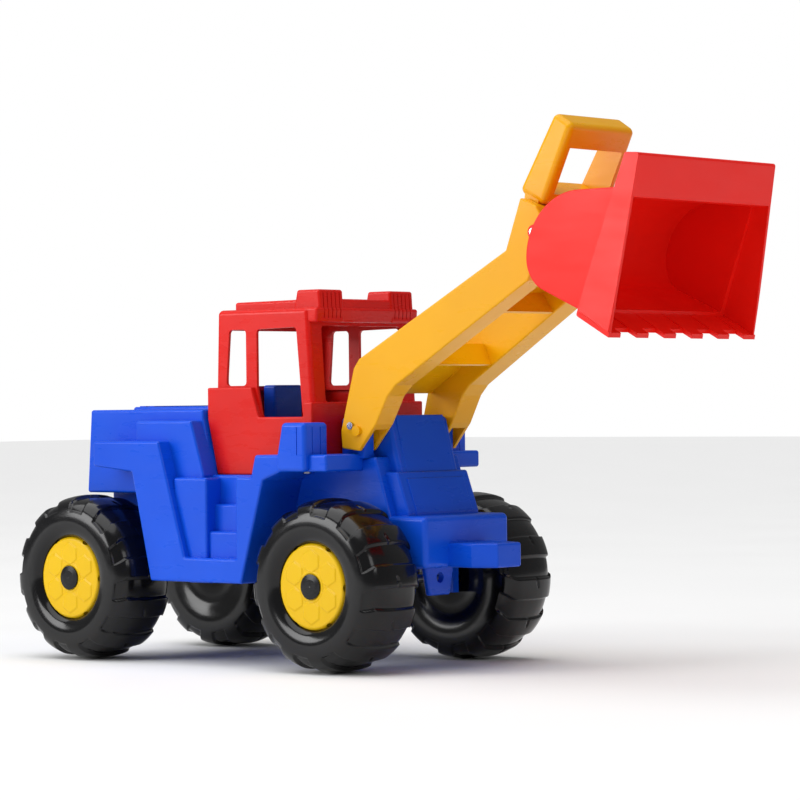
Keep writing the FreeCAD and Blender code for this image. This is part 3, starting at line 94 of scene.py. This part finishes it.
def noise(nodes, links, coordinates, scale, detail=3.0, stretch=(1, 1, 1)):
    """A noise texture on the object's own coordinates."""
    mapping = nodes.new("ShaderNodeMapping")
    mapping.inputs["Scale"].default_value = stretch
    texture = nodes.new("ShaderNodeTexNoise")
    texture.inputs["Scale"].default_value = scale
    texture.inputs["Detail"].default_value = detail
    links.new(coordinates.outputs["Object"], mapping.inputs["Vector"])
    links.new(mapping.outputs["Vector"], texture.inputs["Vector"])
    return texture


def spread(nodes, links, source, low, high):
    """Map a noise factor onto a range."""
    ramp = nodes.new("ShaderNodeMapRange")
    ramp.inputs["From Min"].default_value = 0.3
    ramp.inputs["From Max"].default_value = 0.7
    ramp.inputs["To Min"].default_value = low
    ramp.inputs["To Max"].default_value = high
    links.new(source.outputs["Fac"], ramp.inputs["Value"])
    return ramp


def plastic(name, colour, deep, roughness, coat=0.06, subsurface=0.0, grain=0.04):
    """Moulded plastic: faint clouds of colour, uneven gloss and a fine skin texture."""
    material, nodes, links, shader = new_material(name)
    coordinates = nodes.new("ShaderNodeTexCoord")
    clouds = noise(nodes, links, coordinates, 9.0)
    flow = noise(nodes, links, coordinates, 26.0, 4.0, (1, 1, 4))
    skin = noise(nodes, links, coordinates, 950.0, 2.0)
    waves = noise(nodes, links, coordinates, 38.0, 2.0)

    mix = nodes.new("ShaderNodeMix")
    mix.data_type = "RGBA"
    mix.inputs[MIX_FIRST].default_value = (*deep, 1)
    mix.inputs[MIX_SECOND].default_value = (*colour, 1)
    links.new(spread(nodes, links, clouds, 0.0, 1.0).outputs["Result"], mix.inputs["Factor"])
    links.new(mix.outputs[MIX_RESULT], shader.inputs["Base Color"])

    gloss = spread(nodes, links, flow, roughness * 0.82, roughness * 1.25)
    links.new(gloss.outputs["Result"], shader.inputs["Roughness"])

    fine = nodes.new("ShaderNodeBump")
    fine.inputs["Strength"].default_value = grain
    fine.inputs["Distance"].default_value = 0.1 * MM
    links.new(skin.outputs["Fac"], fine.inputs["Height"])
    broad = nodes.new("ShaderNodeBump")
    broad.inputs["Strength"].default_value = 0.035
    broad.inputs["Distance"].default_value = 0.4 * MM
    links.new(waves.outputs["Fac"], broad.inputs["Height"])
    links.new(fine.outputs["Normal"], broad.inputs["Normal"])
    links.new(broad.outputs["Normal"], shader.inputs["Normal"])

    shader.inputs["IOR"].default_value = 1.5
    shader.inputs["Specular IOR Level"].default_value = 0.22
    shader.inputs["Coat Weight"].default_value = coat
    shader.inputs["Coat Roughness"].default_value = 0.1
    shader.inputs["Subsurface Weight"].default_value = subsurface
    shader.inputs["Subsurface Radius"].default_value = (1.0, 0.35, 0.15)
    shader.inputs["Subsurface Scale"].default_value = 4 * MM
    return material


def steel(name, colour, roughness):
    """Plated or drawn steel with fine lines along its length and slight tarnish."""
    material, nodes, links, shader = new_material(name)
    coordinates = nodes.new("ShaderNodeTexCoord")
    lines = noise(nodes, links, coordinates, 700.0, 3.0, (1, 0.05, 1))
    tarnish = noise(nodes, links, coordinates, 60.0)
    mix = nodes.new("ShaderNodeMix")
    mix.data_type = "RGBA"
    mix.inputs[MIX_FIRST].default_value = (*[c * 0.7 for c in colour], 1)
    mix.inputs[MIX_SECOND].default_value = (*colour, 1)
    links.new(spread(nodes, links, tarnish, 0.0, 1.0).outputs["Result"], mix.inputs["Factor"])
    links.new(mix.outputs[MIX_RESULT], shader.inputs["Base Color"])
    links.new(spread(nodes, links, lines, roughness * 0.7, roughness * 1.4).outputs["Result"],
              shader.inputs["Roughness"])
    bump = nodes.new("ShaderNodeBump")
    bump.inputs["Strength"].default_value = 0.2
    bump.inputs["Distance"].default_value = 0.05 * MM
    links.new(lines.outputs["Fac"], bump.inputs["Height"])
    links.new(bump.outputs["Normal"], shader.inputs["Normal"])
    shader.inputs["Metallic"].default_value = 1.0
    return material


MATERIALS = {
    "blue_body": plastic("blue plastic", (0.003, 0.085, 0.70), (0.002, 0.070, 0.62), 0.30),
    "red_cab": plastic("cab red plastic", (0.70, 0.010, 0.006), (0.62, 0.007, 0.004), 0.28, subsurface=0.03),
    "red_bucket": plastic("bucket red plastic", (0.90, 0.012, 0.006), (0.82, 0.009, 0.004), 0.34,
                          subsurface=0.06),
    "yellow_boom": plastic("boom yellow plastic", (0.86, 0.42, 0.001), (0.79, 0.37, 0.001), 0.30,
                           subsurface=0.04),
    "yellow_hub": plastic("hub yellow plastic", (0.80, 0.50, 0.001), (0.74, 0.45, 0.001), 0.34,
                          subsurface=0.04),
    "black_tyre": plastic("tyre black plastic", (0.0040, 0.0040, 0.0048), (0.0025, 0.0025, 0.0030), 0.17,
                          coat=0.25, grain=0.03),
    "black_cap": plastic("cap black plastic", (0.008, 0.008, 0.009), (0.005, 0.005, 0.006), 0.25),
    "axle_steel": steel("drawn steel", (0.55, 0.55, 0.57), 0.28),
    "pin_steel": steel("plated steel", (0.62, 0.62, 0.64), 0.24),
    "nut_steel": steel("spring steel", (0.48, 0.48, 0.50), 0.32),
    "screw_steel": steel("screw steel", (0.45, 0.45, 0.47), 0.35),
}


def paint_cad():
    """Give each CAD node the material of its slot."""
    slots = {part["node"]: part["material_slot"] for part in frame["record"]["subparts"]}
    for node, item in frame["nodes"].items():
        item.data.materials.clear()
        item.data.materials.append(MATERIALS[slots[node]])


# ---------------------------------------------------------------- mesh helpers

def mesh_object(name, vertices, faces, material_slot):
    """A smooth-shaded mesh object from plain lists."""
    mesh = bpy.data.meshes.new(name)
    mesh.from_pydata(vertices, [], faces)
    mesh.update()
    for face in mesh.polygons:
        face.use_smooth = True
    item = bpy.data.objects.new(name, mesh)
    bpy.context.scene.collection.objects.link(item)
    item.data.materials.append(MATERIALS[material_slot])
    return item


def smoothstep(low, high, value):
    """0 below low, 1 above high, and a smooth step between."""
    share = min(1.0, max(0.0, (value - low) / (high - low)))
    return share * share * (3 - 2 * share)


def spline(points, per_span):
    """A Catmull-Rom curve through 2-D points, with a fixed number of steps per span."""
    padded = [points[0]] + list(points) + [points[-1]]
    curve = []
    for i in range(1, len(padded) - 2):
        before, start, end, after = (Vector(p) for p in padded[i - 1:i + 3])
        for step in range(per_span):
            t = step / per_span
            curve.append(0.5 * (2 * start + (end - before) * t
                                + (2 * before - 5 * start + 4 * end - after) * t * t
                                + (3 * start - before - 3 * end + after) * t ** 3))
    curve.append(Vector(points[-1]))
    return curve


def turned(name, curve, steps, material_slot, shape):
    """Turn a curve of (y, r) around Y; shape(angle, y, r) returns the final (y, r)."""
    vertices = []
    faces = []
    count = len(curve)
    for i in range(steps):
        angle = 2 * math.pi * i / steps
        for y, r in curve:
            y, r = shape(angle, y, r)
            vertices.append((r * math.sin(angle), y, r * math.cos(angle)))
    for i in range(steps):
        for k in range(count - 1):
            a = i * count + k
            b = ((i + 1) % steps) * count + k
            faces.append((a, a + 1, b + 1, b))
    return mesh_object(name, vertices, faces, material_slot)


# ---------------------------------------------------------------- wheels

TYRE_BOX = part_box("tyre_front_left")
TYRE_RADIUS = (TYRE_BOX[1].z - TYRE_BOX[0].z) / 2
TYRE_MIDDLE = (TYRE_BOX[0].y + TYRE_BOX[1].y) / 2
TYRE_HALF = (TYRE_BOX[1].y - TYRE_BOX[0].y) / 2
TYRE_STEPS = 480         # around the wheel
HUB_STEPS = 240
LUGS = 12
LUG_SHARE = 0.52         # of the pitch from lug to lug
LUG_DEPTH = 2.8 * MM
LUG_EDGE = 0.5 * MM
LUG_SWEEP = 7.0          # radians of lean per metre, on the shoulders only
SLIT_WIDTH = 0.9 * MM
HUB_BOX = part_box("hub_front_left")
HUB_FACE = HUB_BOX[1].y - 0.8 * MM
HUB_RIM = (HUB_BOX[1].z - HUB_BOX[0].z) / 2
RING_END = 14.8 * MM     # radius where the ring round the cap ends
HUB_TURN = 3.8 * MM      # radius of the rounded shoulder
SHOULDER_STRETCH = 1.5   # the shoulder is deeper than it is high
SHOULDER_DEPTH = 5.7 * MM


def tyre_curve():
    """The tyre's outer section from the inner mouth over the tread to the outer mouth."""
    radius = TYRE_RADIUS
    outer = [
        (0.53, 0.478), (0.70, 0.484), (0.84, 0.505), (0.945, 0.56), (0.995, 0.655), (0.985, 0.76),
        (0.93, 0.853), (0.80, 0.922), (0.60, 0.966), (0.35, 0.991), (0.12, 0.9995)]
    right = [(TYRE_MIDDLE + y * TYRE_HALF, r * radius) for y, r in outer]
    inner = [
        (0.86, 0.16), (0.88, 0.30), (0.90, 0.44), (0.955, 0.55), (0.99, 0.655), (0.99, 0.76),
        (0.95, 0.865), (0.84, 0.935), (0.64, 0.975), (0.37, 0.993), (0.12, 0.9995)]
    left = [(TYRE_MIDDLE - y * TYRE_HALF, r * radius) for y, r in inner]
    return spline(left + right[::-1], 7)


def tread(angle, y, r):
    """Lower the surface between the lugs, and cut one slit into each lug."""
    across = y - TYRE_MIDDLE
    reach = abs(across) / TYRE_HALF
    lean = LUG_SWEEP * max(0.0, abs(across) - 0.72 * TYRE_HALF)
    pitch = 2 * math.pi / LUGS
    phase = ((angle + lean) / pitch) % 1.0
    edge = LUG_EDGE / TYRE_RADIUS / pitch
    raised = smoothstep(-edge, edge, phase - 0.02) * smoothstep(-edge, edge, LUG_SHARE - phase)
    on_tread = smoothstep(0.80, 0.86, r / TYRE_RADIUS) if reach > 0.5 else 1.0
    slit_middle = (0.10 + 0.16 * (phase / LUG_SHARE - 0.5)) * TYRE_HALF
    slit = raised * smoothstep(0.5 * LUG_SHARE, 0.42 * LUG_SHARE, phase)
    slit *= smoothstep(1.5 * SLIT_WIDTH, 0.5 * SLIT_WIDTH, abs(across - slit_middle))
    drop = LUG_DEPTH * on_tread * (1 - raised) + 0.55 * LUG_DEPTH * slit
    if reach > 0.5:
        lift = (r / TYRE_RADIUS - 0.5) / 0.5
        y -= math.copysign(drop * (1 - lift) * 1.2, across)
    return y, r - drop


def hub_curve():
    """The hub's face from the cap's ring to the shoulder and back along its rim."""
    points = [(HUB_FACE, 4.2 * MM), (HUB_FACE, 10 * MM), (HUB_FACE, 11.9 * MM),
              (HUB_FACE + 0.55 * MM, 12.6 * MM),
              (HUB_FACE + 0.55 * MM, 13.9 * MM), (HUB_FACE, RING_END)]
    curve = spline(points, 3)
    for i in range(1, 41):
        curve.append(Vector((HUB_FACE, RING_END + i * (HUB_RIM - HUB_TURN - RING_END) / 40)))
    for i in range(1, 13):
        bend = math.pi / 2 * i / 12
        curve.append(Vector((HUB_FACE - HUB_TURN * SHOULDER_STRETCH * (1 - math.cos(bend)),
                             HUB_RIM - HUB_TURN + HUB_TURN * math.sin(bend))))
    for i in range(1, 15):
        curve.append(Vector((HUB_FACE - SHOULDER_DEPTH - i * 3 * MM, HUB_RIM)))
    return curve


PAD_DISTANCE = 23.4 * MM
PAD_RADIUS = 9.6 * MM
NOTCH_RADIUS = 3.1 * MM
NOTCH_DEPTH = 3.4 * MM
NOTCH_BACK = 4.2 * MM    # the notches' centres, behind the face
PAD_RISE = 0.75 * MM


def hub_relief(angle, y, r):
    """Six raised pads with six sides on the face, and six notches on the shoulder between them."""
    sector = math.pi / 3
    nearest = round(angle / sector) * sector
    radial = r * math.cos(angle - nearest) - PAD_DISTANCE
    side = r * math.sin(angle - nearest)
    distance = max(abs(side), abs(side) * 0.5 + abs(radial) * 0.866)
    if y > HUB_FACE - 1.2 * MM and r > 14 * MM:
        y += PAD_RISE * smoothstep(PAD_RADIUS + 0.5 * MM, PAD_RADIUS - 0.5 * MM, distance)
    between = (math.floor(angle / sector) + 0.5) * sector
    along = HUB_RIM * (angle - between)
    pit = math.hypot(along, y - (HUB_FACE - NOTCH_BACK))
    if r > HUB_RIM - 3.5 * MM:
        r -= NOTCH_DEPTH * smoothstep(NOTCH_RADIUS + 0.5 * MM, NOTCH_RADIUS - 0.7 * MM, pit)
    return y, r


def wheels():
    """A detailed tyre and hub at each corner, each standing for its CAD node."""
    tyre = turned("tyre look", tyre_curve(), TYRE_STEPS, "black_tyre", tread)
    hub = turned("hub look", hub_curve(), HUB_STEPS, "yellow_hub", hub_relief)
    for end in ENDS:
        for side in SIDES:
            low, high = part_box(f"tyre_{end}_{side}")
            place = Matrix.Translation(((low.x + high.x) / 2, 0, (low.z + high.z) / 2))
            if side == "right":
                place = place @ Matrix.Rotation(math.pi, 4, "Z")
            for source, node, slot in ((tyre, "tyre", "black_tyre"), (hub, "hub", "yellow_hub")):
                item = bpy.data.objects.new(f"{node}_{end}_{side}_look", source.data)
                bpy.context.scene.collection.objects.link(item)
                item.matrix_world = place
                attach(item, f"wheel_{end}_{side}")
                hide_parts(f"{node}_{end}_{side}")
    bpy.data.objects.remove(tyre)
    bpy.data.objects.remove(hub)


# ---------------------------------------------------------------- studio

def area_light(name, place, target, width, height, power):
    """A soft rectangular light aimed at a point, its size in metres and its power in watts."""
    data = bpy.data.lights.new(name, "AREA")
    data.shape = "RECTANGLE"
    data.size = width
    data.size_y = height
    data.energy = power
    item = bpy.data.objects.new(name, data)
    item.location = place
    item.rotation_euler = (Vector(target) - Vector(place)).to_track_quat("-Z", "Y").to_euler()
    bpy.context.scene.collection.objects.link(item)


def studio():
    """A pale floor, a white world and three soft lights."""
    bpy.ops.mesh.primitive_plane_add(size=30, location=(0, 0, CAD_BOX[0].z - 0.2 * MM))
    floor = bpy.context.object
    floor.name = "floor"
    material, nodes, links, shader = new_material("pale floor")
    coordinates = nodes.new("ShaderNodeTexCoord")
    mottle = noise(nodes, links, coordinates, 4.0)
    links.new(spread(nodes, links, mottle, 0.55, 0.65).outputs["Result"], shader.inputs["Roughness"])
    shader.inputs["Base Color"].default_value = (0.90, 0.90, 0.90, 1)
    shader.inputs["Specular IOR Level"].default_value = 0.1
    floor.data.materials.append(material)

    world = bpy.data.worlds.new("studio")
    world.use_nodes = True
    nodes = world.node_tree.nodes
    seen = nodes.new("ShaderNodeLightPath")
    strength = nodes.new("ShaderNodeMapRange")
    strength.inputs["To Min"].default_value = AMBIENT
    strength.inputs["To Max"].default_value = 1.0
    world.node_tree.links.new(seen.outputs["Is Camera Ray"], strength.inputs["Value"])
    world.node_tree.links.new(strength.outputs["Result"], nodes["Background"].inputs["Strength"])
    nodes["Background"].inputs["Color"].default_value = (1, 1, 1, 1)
    bpy.context.scene.world = world

    centre = (0, 0, 0.22)
    area_light("side softbox", (-2.0, -2.9, 1.35), centre, 1.8, 1.5, 62)
    area_light("front softbox", (3.0, -0.6, 1.6), centre, 0.9, 1.2, 10)
    sky = bpy.data.lights.new("overhead", "SUN")
    sky.energy = 2.4
    sky.angle = math.radians(70)
    overhead = bpy.data.objects.new("overhead", sky)
    overhead.rotation_euler = (math.radians(12), math.radians(-8), 0)
    bpy.context.scene.collection.objects.link(overhead)
    bpy.context.scene.view_settings.view_transform = "Standard"


def camera():
    """The camera at its measured place, with its own heading and roll."""
    back = Vector((math.sin(CAMERA_AZIMUTH) * math.cos(CAMERA_ELEVATION),
                   -math.cos(CAMERA_AZIMUTH) * math.cos(CAMERA_ELEVATION), math.sin(CAMERA_ELEVATION)))
    right = Vector((math.cos(CAMERA_AZIMUTH), math.sin(CAMERA_AZIMUTH), 0))
    up = back.cross(right)
    rolled_right = math.cos(CAMERA_ROLL) * right + math.sin(CAMERA_ROLL) * up
    rolled_up = -math.sin(CAMERA_ROLL) * right + math.cos(CAMERA_ROLL) * up
    data = bpy.data.cameras.new("camera")
    data.lens = CAMERA_LENS
    data.sensor_width = CAMERA_SENSOR
    item = bpy.data.objects.new("camera", data)
    bpy.context.scene.collection.objects.link(item)
    turn = Matrix((rolled_right, rolled_up, back)).transposed().to_4x4()
    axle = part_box("front_axle")
    axle_x = (axle[0].x + axle[1].x) / 2
    item.matrix_world = Matrix.Translation(CAMERA_FROM_AXLE + Vector((axle_x, 0, 0))) @ turn
    bpy.context.scene.camera = item


paint_cad()
wheels()
studio()
camera()
